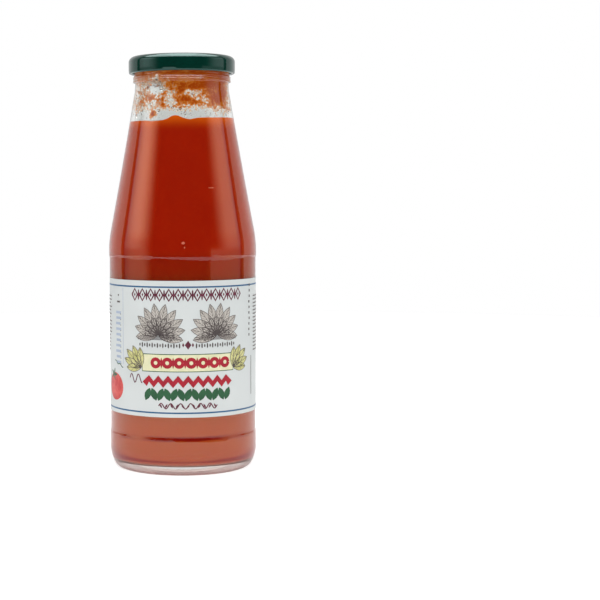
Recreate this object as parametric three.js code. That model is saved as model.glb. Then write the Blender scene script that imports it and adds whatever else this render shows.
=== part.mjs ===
// A shut glass bottle of tomato passata: the glass, the passata in it, the pressed lid and the paper label.
// Millimetres, +Z up. The origin is the middle of the base, and the front of the label faces -Y.
import * as THREE from 'three';

// Driving dimensions
const TOTAL_HEIGHT = 218;
const BODY_RADIUS = 39.3;
const GLASS_WALL = 2.5;
const SEGMENTS = 56;

// The base: a flat ring that it stands on, round a shallow push-up, and a rounded heel outside
const STAND_INNER_RADIUS = 30.5;
const STAND_OUTER_RADIUS = 33.6;
const PUSH_UP_HEIGHT = 3.2;
const PUSH_UP_EDGE = 2;
const HEEL_HEIGHT = 10;
const HEEL_TUCK = 1.4;
const FLOOR_THICKNESS = 4;
const FLOOR_EDGE_HEIGHT = 5.2;
const FLOOR_EDGE_RADIUS = 30.5;
const INNER_HEEL_HEIGHT = 12.5;

// The label panel is let into the body, so that the label is not rubbed
const PANEL_DEPTH = 0.3;
const PANEL_BOTTOM = 19;
const PANEL_TOP = 112.7;
const PANEL_STEP = 1.6;
const LABEL_HEIGHT = 70.3;
const LABEL_RAISE = 0.3;
const LABEL_THICKNESS = 0.14;
const LABEL_GAP = 0.08;

// The shoulder turns the body into a long cone, which ends in the neck
const SHOULDER_BOTTOM = 115.5;
const SHOULDER_TOP = 126.8;
const SHOULDER_INSET = 1.1;
const SHOULDER_CORNER = 120.7;
const CONE_TOP = 199.5;
const CONE_TOP_RADIUS = 25.1;
const CONE_HOLLOW = 0.4;
const NECK_HEIGHT = 203.6;
const NECK_RADIUS = 24.8;
const NECK_CURVE = 2;
const INNER_CONE_BOTTOM = 125.5;
const INNER_CONE_BOTTOM_RADIUS = 35.9;
const INNER_CONE_TOP = 198;
const INNER_CONE_TOP_RADIUS = 23;

// The finish: a bead below the lid, and a plain ring that the lid grips
const BEAD_RADIUS = 26.6;
const BEAD_MIDDLE = 207;
const BEAD_HALF_HEIGHT = 1.9;
const BEAD_ROUNDING = 0.5;
const FINISH_RADIUS = 25.3;
const FINISH_TOP = TOTAL_HEIGHT - 1;
const MOUTH_RADIUS = 22.5;
const LIP_ROUNDING = 0.9;

// The passata stands higher on one side, and clings to the glass in a few low swells
const FILL_HEIGHT = 184.4;
const FILL_LEAN = 0.9;
const FILL_GAP = 0.3;
const FILL_SWELLS = [
  { degrees: -32, rise: -0.9, width: 15 },
  { degrees: -8, rise: 1.8, width: 8 },
  { degrees: 9, rise: -0.7, width: 8 },
  { degrees: 150, rise: 0.8, width: 24 },
  { degrees: -125, rise: -0.6, width: 28 },
];
const FILL_RINGS = [0.86, 0.68, 0.46, 0.22];
const LUMP_HEIGHT = 0.35;
const LUMP_RINGS = 9;
const LUMP_SIDES = 3;

// The lid: a pressed tin cap with a curled edge, a sunk middle and a safety button
const LID_RADIUS = 28.2;
const LID_SKIRT = 9.1;
const TIN_THICKNESS = 0.5;
const LID_CORNER = 2;
const CURL_RADIUS = 1;
const CURL_TUCK = 0.1;
const RIM_RADIUS = 22.6;
const RIM_SLOPE = 1.1;
const MIDDLE_DROP = 1;
const BUTTON_RADIUS = 9;
const BUTTON_SLOPE = 1.4;
const BUTTON_DROP = 0.7;

const CURVE_STEPS = 4;

// Values that follow from the dimensions above
const PANEL_RADIUS = BODY_RADIUS - PANEL_DEPTH;
const CAVITY_RADIUS = BODY_RADIUS - GLASS_WALL;
const LABEL_BOTTOM = (PANEL_BOTTOM + PANEL_TOP - LABEL_HEIGHT) / 2 + LABEL_RAISE;

const glassMaterial = new THREE.MeshStandardMaterial({
  color: 0xdde6e2, roughness: 0.05, metalness: 0, transparent: true, opacity: 0.35,
});
const passataMaterial = new THREE.MeshStandardMaterial({ color: 0xa51f08, roughness: 0.45, metalness: 0 });
const lidMaterial = new THREE.MeshStandardMaterial({ color: 0x0a3a32, roughness: 0.28, metalness: 0.1 });
const paperMaterial = new THREE.MeshStandardMaterial({ color: 0xdbe2e0, roughness: 0.6, metalness: 0 });

// An outline holds radius as x and height as y. It is turned about the bottle's axis, from the front to +X.
function turned(points) {
  return new THREE.LatheGeometry(points, SEGMENTS).rotateX(Math.PI / 2);
}

function namedMesh(name, geometry, material) {
  const mesh = new THREE.Mesh(geometry, material);
  mesh.name = name;
  return mesh;
}

// Radius of the straight inner cone at a height
function innerConeRadius(height) {
  const share = (height - INNER_CONE_BOTTOM) / (INNER_CONE_TOP - INNER_CONE_BOTTOM);
  return THREE.MathUtils.lerp(INNER_CONE_BOTTOM_RADIUS, INNER_CONE_TOP_RADIUS, share);
}

// The inside of the bottle from the middle of its floor up to the foot of the inner cone
function cavityFoot(gap) {
  const floorMiddle = PUSH_UP_HEIGHT + FLOOR_THICKNESS + gap;
  const floorEdge = FLOOR_EDGE_HEIGHT + gap;
  const wall = CAVITY_RADIUS - gap;
  return new THREE.Path()
    .moveTo(0, floorMiddle)
    .quadraticCurveTo(FLOOR_EDGE_RADIUS / 2, floorMiddle, FLOOR_EDGE_RADIUS, floorEdge)
    .quadraticCurveTo(wall, floorEdge, wall, INNER_HEEL_HEIGHT)
    .lineTo(wall, SHOULDER_BOTTOM)
    .quadraticCurveTo(wall, SHOULDER_CORNER, INNER_CONE_BOTTOM_RADIUS - gap, INNER_CONE_BOTTOM);
}

function bottleOutside() {
  const shoulderRadius = BODY_RADIUS - SHOULDER_INSET;
  const coneMiddleRadius = (shoulderRadius + CONE_TOP_RADIUS) / 2 - CONE_HOLLOW;
  const coneMiddle = (SHOULDER_TOP + CONE_TOP) / 2;
  const beadFoot = BEAD_MIDDLE - BEAD_HALF_HEIGHT;
  const beadTop = BEAD_MIDDLE + BEAD_HALF_HEIGHT;
  const beadEdge = BEAD_RADIUS - BEAD_ROUNDING;
  const pushUpRadius = STAND_INNER_RADIUS - PUSH_UP_EDGE;
  return new THREE.Path()
    .moveTo(0, PUSH_UP_HEIGHT)
    .quadraticCurveTo(0.75 * pushUpRadius, PUSH_UP_HEIGHT, pushUpRadius, PUSH_UP_EDGE / 2)
    .lineTo(STAND_INNER_RADIUS, 0)
    .lineTo(STAND_OUTER_RADIUS, 0)
    .quadraticCurveTo(BODY_RADIUS - HEEL_TUCK, 0, BODY_RADIUS, HEEL_HEIGHT)
    .lineTo(BODY_RADIUS, PANEL_BOTTOM - PANEL_STEP / 2)
    .lineTo(PANEL_RADIUS, PANEL_BOTTOM + PANEL_STEP / 2)
    .lineTo(PANEL_RADIUS, PANEL_TOP - PANEL_STEP / 2)
    .lineTo(BODY_RADIUS, PANEL_TOP + PANEL_STEP / 2)
    .lineTo(BODY_RADIUS, SHOULDER_BOTTOM)
    .quadraticCurveTo(BODY_RADIUS, SHOULDER_CORNER, shoulderRadius, SHOULDER_TOP)
    .quadraticCurveTo(coneMiddleRadius, coneMiddle, CONE_TOP_RADIUS, CONE_TOP)
    .quadraticCurveTo(NECK_RADIUS, NECK_HEIGHT - NECK_CURVE, NECK_RADIUS, NECK_HEIGHT)
    .quadraticCurveTo(NECK_RADIUS, beadFoot, beadEdge, beadFoot + BEAD_ROUNDING)
    .quadraticCurveTo(BEAD_RADIUS + BEAD_ROUNDING, BEAD_MIDDLE, beadEdge, beadTop - BEAD_ROUNDING)
    .lineTo(FINISH_RADIUS, beadTop)
    .lineTo(FINISH_RADIUS, FINISH_TOP - LIP_ROUNDING)
    .quadraticCurveTo(FINISH_RADIUS, FINISH_TOP, FINISH_RADIUS - LIP_ROUNDING, FINISH_TOP)
    .lineTo(MOUTH_RADIUS + LIP_ROUNDING, FINISH_TOP)
    .quadraticCurveTo(MOUTH_RADIUS, FINISH_TOP, MOUTH_RADIUS, FINISH_TOP - LIP_ROUNDING)
    .lineTo(MOUTH_RADIUS, NECK_HEIGHT)
    .quadraticCurveTo(MOUTH_RADIUS, NECK_HEIGHT - NECK_CURVE, INNER_CONE_TOP_RADIUS, INNER_CONE_TOP);
}

function bottleGlass() {
  const outside = bottleOutside().getPoints(CURVE_STEPS);
  const inside = cavityFoot(0).getPoints(CURVE_STEPS).reverse();
  return namedMesh('bottle_glass', turned([...outside, ...inside]), glassMaterial);
}

// Height of the passata where it meets the glass, at an angle from the front
function fillEdge(angle) {
  let height = FILL_HEIGHT + FILL_LEAN * Math.sin(angle);
  for (const { degrees, rise, width } of FILL_SWELLS) {
    const away = THREE.MathUtils.radToDeg(angle) - degrees;
    const wrapped = THREE.MathUtils.euclideanModulo(away + 180, 360) - 180;
    height += rise * Math.exp(-((wrapped / width) ** 2));
  }
  return height;
}

// The passata is turned with a flat top, and its top rings are then raised to the uneven surface
function passata() {
  const edgeRadius = innerConeRadius(FILL_HEIGHT) - FILL_GAP;
  const rings = [1, ...FILL_RINGS, 0];
  const points = [
    ...cavityFoot(FILL_GAP).getPoints(CURVE_STEPS),
    ...rings.map((share) => new THREE.Vector2(share * edgeRadius, FILL_HEIGHT)),
  ];
  const geometry = turned(points);
  const place = geometry.getAttribute('position');
  for (let i = 0; i < place.count; i += 1) {
    const ring = (i % points.length) - (points.length - rings.length);
    if (ring < 0) continue;
    const share = rings[ring];
    const angle = Math.atan2(place.getX(i), -place.getY(i));
    const edge = fillEdge(angle);
    const radius = share * (innerConeRadius(edge) - FILL_GAP);
    const lumpSides = 1 + share * Math.cos(LUMP_SIDES * angle);
    const lump = LUMP_HEIGHT * (1 - share) * Math.cos(LUMP_RINGS * share) * lumpSides;
    const height = FILL_HEIGHT + (edge - FILL_HEIGHT) * share ** 3 + lump;
    place.setXYZ(i, radius * Math.sin(angle), -radius * Math.cos(angle), height);
  }
  return namedMesh('passata', geometry, passataMaterial);
}

// One face of the pressed top, from the middle out to the corner. On the underside the steps lie further out.
function lidTop(height, shift) {
  const middle = height - MIDDLE_DROP;
  return new THREE.Path()
    .moveTo(0, middle - BUTTON_DROP)
    .lineTo(BUTTON_RADIUS - BUTTON_SLOPE + shift, middle - BUTTON_DROP)
    .lineTo(BUTTON_RADIUS + shift, middle)
    .lineTo(RIM_RADIUS - RIM_SLOPE + shift, middle)
    .lineTo(RIM_RADIUS + shift, height)
    .lineTo(LID_RADIUS - LID_CORNER - shift, height);
}

function lid() {
  const under = TOTAL_HEIGHT - TIN_THICKNESS;
  const foot = TOTAL_HEIGHT - LID_SKIRT;
  const inner = LID_RADIUS - TIN_THICKNESS;
  const curlTop = foot + 2 * CURL_RADIUS;
  const curlInner = LID_RADIUS - 2 * CURL_RADIUS;
  const curlOuter = LID_RADIUS - CURL_TUCK;
  const underside = lidTop(under, TIN_THICKNESS / 2)
    .quadraticCurveTo(inner, under, inner, under - LID_CORNER)
    .lineTo(inner, curlTop)
    .quadraticCurveTo(curlInner, curlTop, curlInner, foot + CURL_RADIUS)
    .quadraticCurveTo(curlInner, foot, LID_RADIUS - CURL_RADIUS, foot)
    .quadraticCurveTo(curlOuter, foot, curlOuter, foot + CURL_RADIUS)
    .lineTo(LID_RADIUS, curlTop)
    .lineTo(LID_RADIUS, TOTAL_HEIGHT - LID_CORNER)
    .getPoints(CURVE_STEPS);
  const upperFace = lidTop(TOTAL_HEIGHT, 0)
    .quadraticCurveTo(LID_RADIUS, TOTAL_HEIGHT, LID_RADIUS, TOTAL_HEIGHT - LID_CORNER)
    .getPoints(CURVE_STEPS)
    .reverse();
  return namedMesh('lid', turned([...underside, ...upperFace.slice(1)]), lidMaterial);
}

function label() {
  const inner = PANEL_RADIUS + LABEL_GAP;
  const outer = inner + LABEL_THICKNESS;
  const top = LABEL_BOTTOM + LABEL_HEIGHT;
  const outline = [
    new THREE.Vector2(inner, LABEL_BOTTOM),
    new THREE.Vector2(outer, LABEL_BOTTOM),
    new THREE.Vector2(outer, top),
    new THREE.Vector2(inner, top),
    new THREE.Vector2(inner, LABEL_BOTTOM),
  ];
  return namedMesh('label', turned(outline), paperMaterial);
}

const bottle = new THREE.Group();
bottle.add(bottleGlass(), passata(), lid(), label());

export default bottle;
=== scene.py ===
# The looks of a shut glass bottle of tomato passata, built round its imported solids.
# Pieces are modelled in millimetres and scaled to metres once. The label's front faces -Y.
import math
import random

import bmesh
import bpy
from mathutils import Matrix, Vector, noise


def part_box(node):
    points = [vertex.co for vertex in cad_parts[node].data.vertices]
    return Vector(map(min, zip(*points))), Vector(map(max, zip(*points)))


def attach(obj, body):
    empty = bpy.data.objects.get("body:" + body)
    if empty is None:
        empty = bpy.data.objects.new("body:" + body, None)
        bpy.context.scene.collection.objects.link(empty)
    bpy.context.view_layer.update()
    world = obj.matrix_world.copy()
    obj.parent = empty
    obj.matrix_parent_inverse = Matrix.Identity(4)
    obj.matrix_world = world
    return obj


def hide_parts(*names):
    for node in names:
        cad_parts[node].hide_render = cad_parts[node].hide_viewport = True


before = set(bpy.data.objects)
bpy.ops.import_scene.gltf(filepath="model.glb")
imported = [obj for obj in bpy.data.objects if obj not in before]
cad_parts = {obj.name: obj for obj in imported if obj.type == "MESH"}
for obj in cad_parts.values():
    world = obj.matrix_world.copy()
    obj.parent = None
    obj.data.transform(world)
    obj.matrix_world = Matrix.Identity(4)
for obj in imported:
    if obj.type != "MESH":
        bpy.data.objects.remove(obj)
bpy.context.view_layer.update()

# Sizes read from the frame, in millimetres
MM = 0.001
BODY_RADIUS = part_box("bottle_glass")[1].x / MM
TOTAL_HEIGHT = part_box("lid")[1].z / MM
LID_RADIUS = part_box("lid")[1].x / MM
LID_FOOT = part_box("lid")[0].z / MM
LABEL_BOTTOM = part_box("label")[0].z / MM
LABEL_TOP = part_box("label")[1].z / MM

# The glass
GLASS_WALL = 2.5
STAND_INNER_RADIUS = 30.5
STAND_OUTER_RADIUS = 33.6
PUSH_UP_HEIGHT = 3.2
PUSH_UP_EDGE = 2
HEEL_HEIGHT = 10
HEEL_TUCK = 1.4
FLOOR_MIDDLE_HEIGHT = 7.2
FLOOR_EDGE_HEIGHT = 5.2
FLOOR_EDGE_RADIUS = 30.5
INNER_HEEL_HEIGHT = 12.5
PANEL_DEPTH = 0.3
PANEL_BOTTOM = 19.6
PANEL_TOP = 112.7
PANEL_STEP = 1.6
PANEL_STEP_EASE = 0.12
SHOULDER_BOTTOM = 115.5
SHOULDER_TOP = 126.8
SHOULDER_INSET = 1.1
SHOULDER_CORNER = 120.7
CONE_TOP = 199.5
CONE_TOP_RADIUS = 25.1
CONE_HOLLOW = 0.4
NECK_HEIGHT = 203.6
NECK_RADIUS = 24.8
NECK_CURVE = 2
BEAD_MIDDLE = 207
BEAD_HALF_HEIGHT = 1.9
BEAD_WIDEST = 25.95
BEAD_WAIST = 25.72
BEAD_PITCH = 1
BEAD_UNDERCUT = 0.8
ROLL_SLOPE = 0.6
ROLL_END = 0.8
ROLL_DIP = 0.1
FINISH_RADIUS = 25.3
FINISH_TOP = TOTAL_HEIGHT - 1
MOUTH_RADIUS = 22.5
LIP_ROUNDING = 0.9
INNER_CONE_BOTTOM = 125.5
INNER_CONE_BOTTOM_RADIUS = 35.9
INNER_CONE_TOP = 198
INNER_CONE_TOP_RADIUS = 23
PANEL_RADIUS = BODY_RADIUS - PANEL_DEPTH
CAVITY_RADIUS = BODY_RADIUS - GLASS_WALL
GLASS_STEPS = 256
GLASS_WAVE = 0.05
GLASS_WAVE_LENGTH = 16
# How tall the slopes at the panel's two ends are round the bottle: degrees from the front, share of the usual
LOWER_STEP_TALLNESS = (
    (-180, 1), (-75, 1), (-62, 0.7), (-11, 0.8), (-9, 0.3), (-6, 1.4), (12, 1.5),
    (20, 1.9), (33, 1.9), (38, 0.9), (58, 0.7), (75, 1), (180, 1),
)
UPPER_STEP_TALLNESS = (
    (-180, 1), (-75, 1), (-60, 0.15), (-25, 0.15), (-22, 0.4), (18, 1.3),
    (20.5, 1.35), (22, 0.15), (60, 0.15), (75, 1), (180, 1),
)
STEP_FADE = 8
STEP_WANDER = 0.12
KNURLS = 64
KNURL_DEPTH = 0.25

# The passata
INTO_GLASS = 0.1
FILL_HEIGHT = 184.4
FILL_LEAN = 0.9
FILL_SWELLS = ((-32, -0.9, 15), (-8, 1.8, 8), (9, -0.7, 8), (150, 0.8, 24), (-125, -0.6, 28))
FILL_RINGS = 26
FILL_STRETCH = 7
FILL_RIM_ROW = 0.12
# Where the sauce's painted shades, its painted top glow and its ridge begin and end, in metres up the bottle
BOTTOM_SHADE = (0.0052, 0.0066)
RIDGE = (0.0178, 0.021)
RIDGE_DEPTH = 0.00036
LOW_SHADE = (0.03, 0.06)
LABEL_SHADE = (0.098, 0.103)
LABEL_SHADE_END = (0.111, 0.117)
TOP_GLOW = (0.176, 0.186)

# Sauce left inside the neck: degrees from the front, height, half width in degrees, half height, amount
FILM_BLOTCHES = (
    (0, 207.6, 400, 2.4, 0.95),
    (55, 206.0, 48, 3.6, 0.6),
    (-34, 206.2, 6, 2.2, -0.5),
    (-12, 203.0, 15, 3.0, 0.5),
    (10, 200.9, 15, 1.8, 1.3),
    (28, 202.2, 16, 2.0, 0.9),
    (-3, 198.8, 5, 1.8, 0.9),
    (3, 194.4, 9, 2.2, 1.3),
    (14, 192.6, 5, 1.5, 0.7),
    (14, 197.3, 6, 1.0, -0.5),
    (26, 196.0, 9, 3.0, 0.25),
    (27, 191.8, 26, 2.0, 0.12),
    (38, 198.5, 9, 5.0, 1.1),
    (47, 194.6, 7, 2.6, 1.0),
    (60, 198.0, 12, 7.0, 1.3),
    (-59, 193.4, 4.5, 2.2, 0.8),
    (-49, 196.5, 3, 1.8, 0.8),
    (-41, 195.6, 3.5, 1.8, 0.9),
    (-30, 192.6, 3, 2.0, 0.6),
    (-24, 195.4, 3.2, 1.8, 0.8),
    (-22, 191.6, 5, 1.6, 0.7),
    (-48, 191.4, 3, 1.4, 0.5),
    (-14, 199.0, 5, 3.2, 0.35),
    (-36, 186.6, 3.6, 1.7, 1.7),
    (-35.5, 200.2, 9, 3.0, -0.7),
    (120, 200.0, 24, 5.0, 0.7),
    (-165, 203.5, 16, 2.4, 0.8),
    (-100, 196.0, 10, 4.0, 0.6),
)
FILM_BOTTOM = 183.5
FILM_TOP = 214
FILM_ROWS = 104
FILM_STEPS = 416
FILM_SKIN = 0.04
FILM_DEPTH = 0.4
FILM_ENDS = -0.3
FILM_BASE = -0.1
FILM_LESS_BEHIND = 0.35
FILM_LESS_LOW = 0.35
BARE_BAND_TOP = 190.5
BARE_BAND_BOTTOM = 186.5
BLOB_FLATNESS = 0.45

# The lid
LID_CORNER = 3
TIN_THICKNESS = 0.5
CURL_RADIUS = 1
CURL_TUCK = 0.1
RIM_RADIUS = 22.6
RIM_SLOPE = 1.1
RIM_SOFTNESS = 0.5
MIDDLE_DROP = 1
BUTTON_RADIUS = 9
BUTTON_SLOPE = 1.4
BUTTON_SOFTNESS = 0.4
BUTTON_DROP = 0.7
LUG_DEGREES = (-14, 76, 166, 256)
LUG_WIDTH = 9
LUG_DEPTH = 0.1

# The label
PAPER_THICKNESS = 0.08
PAPER_WRINKLE = 0.03
INK_THICKNESS = 0.02
SEAM_OVERLAP = 4
DESIGN_SHIFT = 2.6
CUT_LENGTH = 1.6
LOZENGE_ROW = 94
PALMETTE_ROOT = 73.6
PALMETTE_APART = 15.5
TICK_ROW = 68
TICK_PITCH = 1.45
RIBBON_ROW = 59.1
ZIGZAG_ROW = 49.5
LEAF_ROW = 42.8
VINE_ROW = 36.9
BAR_PITCH = 1.9

# The camera, from the curves of the label's edges and the base in the photograph
FRAME_WIDTH = 600
FOCAL_LENGTH = 1495
BOTTLE_COLUMN = 182.8
CAMERA_DISTANCE = 0.8
CAMERA_HEIGHT = 0.1448
CAMERA_PITCH = 4
CAMERA_ROLL = -0.25

# The floor and the light over it, in metres and watts
FLOOR_RADIUS = 1.05
FLOOR_GLOW = 0.75
OVERHEAD_SIZE = 0.7
OVERHEAD_PLACE = (0, -0.35, 1.25)
OVERHEAD_WATTS = 4

# Brightness of what lies round the bottle, and directions in degrees from the camera's side or up
BACK_WALL = 0.66
BACK_GLOW = 0.2
BACK_BEGINS = 111.5
DARK_SIDE = 0.03
LEFT_BOX_LOW = 1
LEFT_BOX = 1.7
LEFT_WALL = 0.5
RIGHT_BOX_LOW = 0.75
RIGHT_BOX = 1.1
RIGHT_WALL = 0.38
SIDES_END = 105
BOX_TOP = 27
CEILING = 6
CEILING_BEGINS = 41
CEILING_RAISED_AT_BACK = 19
SOFT_FRONT = 0.85
SOFT_CEILING = 0.8

# Colours of the sauce, its film and the paper, as the renderer's linear ones
PASSATA_DEEP = (0.33, 0.0056, 0.0001, 1)
PASSATA_PALE = (0.38, 0.0095, 0.0002, 1)
PASSATA_PULP = (0.45, 0.0300, 0.0015, 1)
# Painted light: the glowing orange painted on the top of the sauce
PASSATA_PAINTED_TOP_GLOW = (0.66, 0.0900, 0.0020, 1)
# Painted shade at the sauce's floor, greyed to stand in for the floor seen through the glass base: painted
# shade and painted reflection
PASSATA_SHADED = (0.08, 0.0250, 0.0150, 1)
# Painted shade: the sauce darker towards the bottom, below the label
PASSATA_LOW_PAINTED_SHADE = (0.17, 0.0005, 0.0040, 1)
# Painted shade: the darker band where the label keeps light from the sauce
PASSATA_PAINTED_LABEL_SHADE = (0.19, 0.0020, 0.0001, 1)
FILM_HAZE = (0.88, 0.68, 0.47, 1)
FILM_THIN = (0.66, 0.19, 0.02, 1)
FILM_THICK = (0.38, 0.05, 0.001, 1)
FILM_GLOW = (0.80, 0.16, 0.008, 1)
PAPER_WHITE = (0.63, 0.66, 0.655, 1)
PAPER_SHADE = (0.59, 0.62, 0.615, 1)
PAPER_GRAIN = (0.52, 0.55, 0.545, 1)


def colour(red, green, blue):
    """A colour given as a screen shows it, from 0 to 255, as the renderer's linear one."""
    shares = [value / 255 for value in (red, green, blue)]
    linear = [v / 12.92 if v <= 0.04045 else ((v + 0.055) / 1.055) ** 2.4 for v in shares]
    return (*linear, 1)


def smooth(low, high, value):
    """0 below low and 1 above high, with a smooth rise between."""
    share = min(max((value - low) / (high - low), 0), 1)
    return share * share * (3 - 2 * share)


def between(points, value):
    """Reads value off a broken line through pairs that are in rising order."""
    for (low, first), (high, last) in zip(points, points[1:]):
        if value <= high:
            break
    return first + (last - first) * min(max((value - low) / (high - low), 0), 1)


class Value:
    """An output socket. Arithmetic on it adds Math nodes."""

    def __init__(self, tree, socket):
        self.tree, self.socket = tree, socket

    def math(self, operation, *values):
        node = self.tree.nodes.new("ShaderNodeMath")
        node.operation = operation
        for slot, value in zip(node.inputs, values):
            plug(self.tree, slot, value)
        return Value(self.tree, node.outputs[0])

    def __add__(self, other):
        return self.math("ADD", self, other)

    def __sub__(self, other):
        return self.math("SUBTRACT", self, other)

    def __rsub__(self, other):
        return self.math("SUBTRACT", other, self)

    def __mul__(self, other):
        return self.math("MULTIPLY", self, other)

    def __abs__(self):
        return self.math("ABSOLUTE", self)

    def larger(self, other):
        return self.math("MAXIMUM", self, other)

    __radd__ = __add__
    __rmul__ = __mul__


def plug(tree, slot, value):
    """Links a Value to a node's socket, or sets the socket to a plain one."""
    if isinstance(value, Value):
        tree.links.new(value.socket, slot)
    else:
        slot.default_value = value


class Nodes:
    """A node tree to which any node is added by one method."""

    def __init__(self, owner):
        owner.use_nodes = True
        self.tree = owner.node_tree
        self.tree.nodes.clear()

    def add(self, kind, settings=None, values=None, output=0):
        node = self.tree.nodes.new(kind)
        for name, setting in (settings or {}).items():
            setattr(node, name, setting)
        for name, value in (values or {}).items():
            plug(self.tree, node.inputs[name], value)
        return Value(self.tree, node.outputs[output]) if node.outputs else node

    def mix(self, share, first, second):
        """The colour first where share is 0, and second where it is 1."""
        return self.add("ShaderNodeMix", {"data_type": "RGBA"}, {0: share, 6: first, 7: second}, 2)

    def step(self, low, high, value):
        """0 below low and 1 above high, with a smooth rise between."""
        settings = {"interpolation_type": "SMOOTHSTEP"}
        return self.add("ShaderNodeMapRange", settings, {"Value": value, "From Min": low, "From Max": high})

    def between(self, share, first, second):
        """The value first where share is 0, and second where it is 1."""
        return first + share * (second - first)

    def place(self, scale=(1, 1, 1)):
        """Object coordinates, stretched."""
        here = self.add("ShaderNodeTexCoord", output="Object")
        return self.add("ShaderNodeMapping", None, {"Vector": here, "Scale": scale})

    def noise(self, size, detail, stretch=(1, 1, 1)):
        """Cloudy noise from 0 to 1 whose marks are about size metres across."""
        values = {"Vector": self.place(stretch), "Scale": 1 / size, "Detail": detail}
        return self.add("ShaderNodeTexNoise", None, values)

    def bump(self, height, distance):
        """A normal tilted by height, whose whole range is distance metres deep."""
        return self.add("ShaderNodeBump", None, {"Height": height, "Distance": distance, "Strength": 1})


class Finish(Nodes):
    """A material that ends in a Principled shader."""

    def __init__(self, name):
        self.material = bpy.data.materials.new(name)
        super().__init__(self.material)

    def principled(self, **values):
        """The shader, with its sockets named in lower case with low lines."""
        node = self.tree.nodes.new("ShaderNodeBsdfPrincipled")
        sockets = {slot.name.lower().replace(" ", "_"): slot for slot in node.inputs}
        for name, value in values.items():
            plug(self.tree, sockets[name], value)
        return Value(self.tree, node.outputs[0])

    def shown(self, shader):
        """Makes shader the material's surface, and returns the material."""
        self.add("ShaderNodeOutputMaterial", None, {"Surface": shader})
        return self.material


def clear_glass():
    """Clear glass, slightly green. Light for what is inside passes straight through it."""
    look = Finish("clear_glass")
    body = look.principled(
        base_color=(0.95, 0.97, 0.955, 1), roughness=0, ior=1.52, transmission_weight=1,
    )
    through = look.add("ShaderNodeBsdfTransparent", None, {"Color": (0.97, 0.98, 0.97, 1)})
    shadow = look.add("ShaderNodeLightPath", output="Is Shadow Ray")
    diffuse = look.add("ShaderNodeLightPath", output="Is Diffuse Ray")
    return look.shown(look.add("ShaderNodeMixShader", None, {0: shadow.larger(diffuse), 1: body, 2: through}))


def sauce():
    """Strained tomato: deep red with fine pulp, with a painted orange glow at its top, and painted shade
    below the label, at the floor and in a band at the label's top edge.

    A fine ridge low down turns its gloss away from the floor and shows as a dark red line.
    """
    look = Finish("passata")
    clouds = look.step(0.4, 0.75, look.noise(0.022, 3))
    pulp = look.step(0.52, 0.72, look.noise(0.0016, 3))
    height = look.add("ShaderNodeSeparateXYZ", None, {"Vector": look.place()}, 2)
    # Painted light: the top of the sauce is painted a glowing orange
    painted_glow = look.step(*TOP_GLOW, height)
    body = look.mix(clouds * 0.5, PASSATA_DEEP, PASSATA_PALE)
    body = look.mix(painted_glow * painted_glow, body, PASSATA_PAINTED_TOP_GLOW)
    body = look.mix(pulp * 0.12, body, PASSATA_PULP)
    # Painted shade: the sauce is painted darker towards the bottom
    low = 1 - look.step(*LOW_SHADE, height)
    body = look.mix(low * 0.6, body, PASSATA_LOW_PAINTED_SHADE)
    ridge = height + (look.noise(0.014, 2) - 0.5) * 0.0016
    # Painted shade and painted reflection: the sauce's bottom edge is painted a dark brownish grey
    body = look.mix(look.step(*BOTTOM_SHADE, height), PASSATA_SHADED, body)
    # Painted shade: a darker band in the sauce at the label's top edge
    shaded = look.step(*LABEL_SHADE, height) - look.step(*LABEL_SHADE_END, height)
    body = look.mix(shaded * 0.6, body, PASSATA_PAINTED_LABEL_SHADE)
    shader = look.principled(
        base_color=body, roughness=0.12, ior=1.75, specular_ior_level=1,
        specular_tint=(1, 0.34, 0.05, 1), normal=look.bump(1 - look.step(*RIDGE, ridge), RIDGE_DEPTH),
    )
    return look.shown(shader)


def dried_sauce():
    """Sauce left on the glass: a beige haze where it is thinnest, then orange, and red-brown where thick."""
    look = Finish("dried_sauce")
    depth = look.add("ShaderNodeAttribute", {"attribute_name": "depth"}, output="Fac")
    for size, strength in ((0.0005, 1.8), (0.0013, 2.4), (0.004, 1.4)):
        depth += (look.noise(size, 2) - 0.5) * strength
    haze = look.step(-0.6, 0.1, depth)
    film = look.step(-0.05, 0.3, depth)
    thick = look.step(0.3, 1.1, depth)
    body = look.mix(film, FILM_HAZE, FILM_THIN)
    body = look.mix(thick, body, FILM_THICK)
    solid = look.principled(
        base_color=body, roughness=0.35, specular_ior_level=0.25, specular_tint=(1, 0.35, 0.05, 1),
        alpha=haze * 0.45 + film * 0.4 + thick * 0.15,
    )
    glow = look.add("ShaderNodeBsdfTranslucent", None, {"Color": FILM_GLOW})
    clear = look.add("ShaderNodeBsdfTransparent")
    lit = look.add("ShaderNodeMixShader", None, {0: haze * 0.1 + film * 0.9, 1: clear, 2: glow})
    return look.shown(look.add("ShaderNodeMixShader", None, {0: 0.1, 1: solid, 2: lit}))


def water():
    """Drops of clear water, some of them faintly yellow."""
    look = Finish("clear_drops")
    damp = look.step(0.3, 0.8, look.noise(0.002, 2))
    return look.shown(look.principled(
        base_color=look.mix(damp, (1, 1, 1, 1), (0.97, 0.93, 0.88, 1)), roughness=0, ior=1.34,
        transmission_weight=1,
    ))


def plain(name, shade, other, size, roughness, **values):
    """A solid colour that wanders a little towards another one."""
    look = Finish(name)
    wander = look.step(0.35, 0.7, look.noise(size, 3))
    return look.shown(look.principled(
        base_color=look.mix(wander, shade, other), roughness=roughness, **values,
    ))


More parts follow.
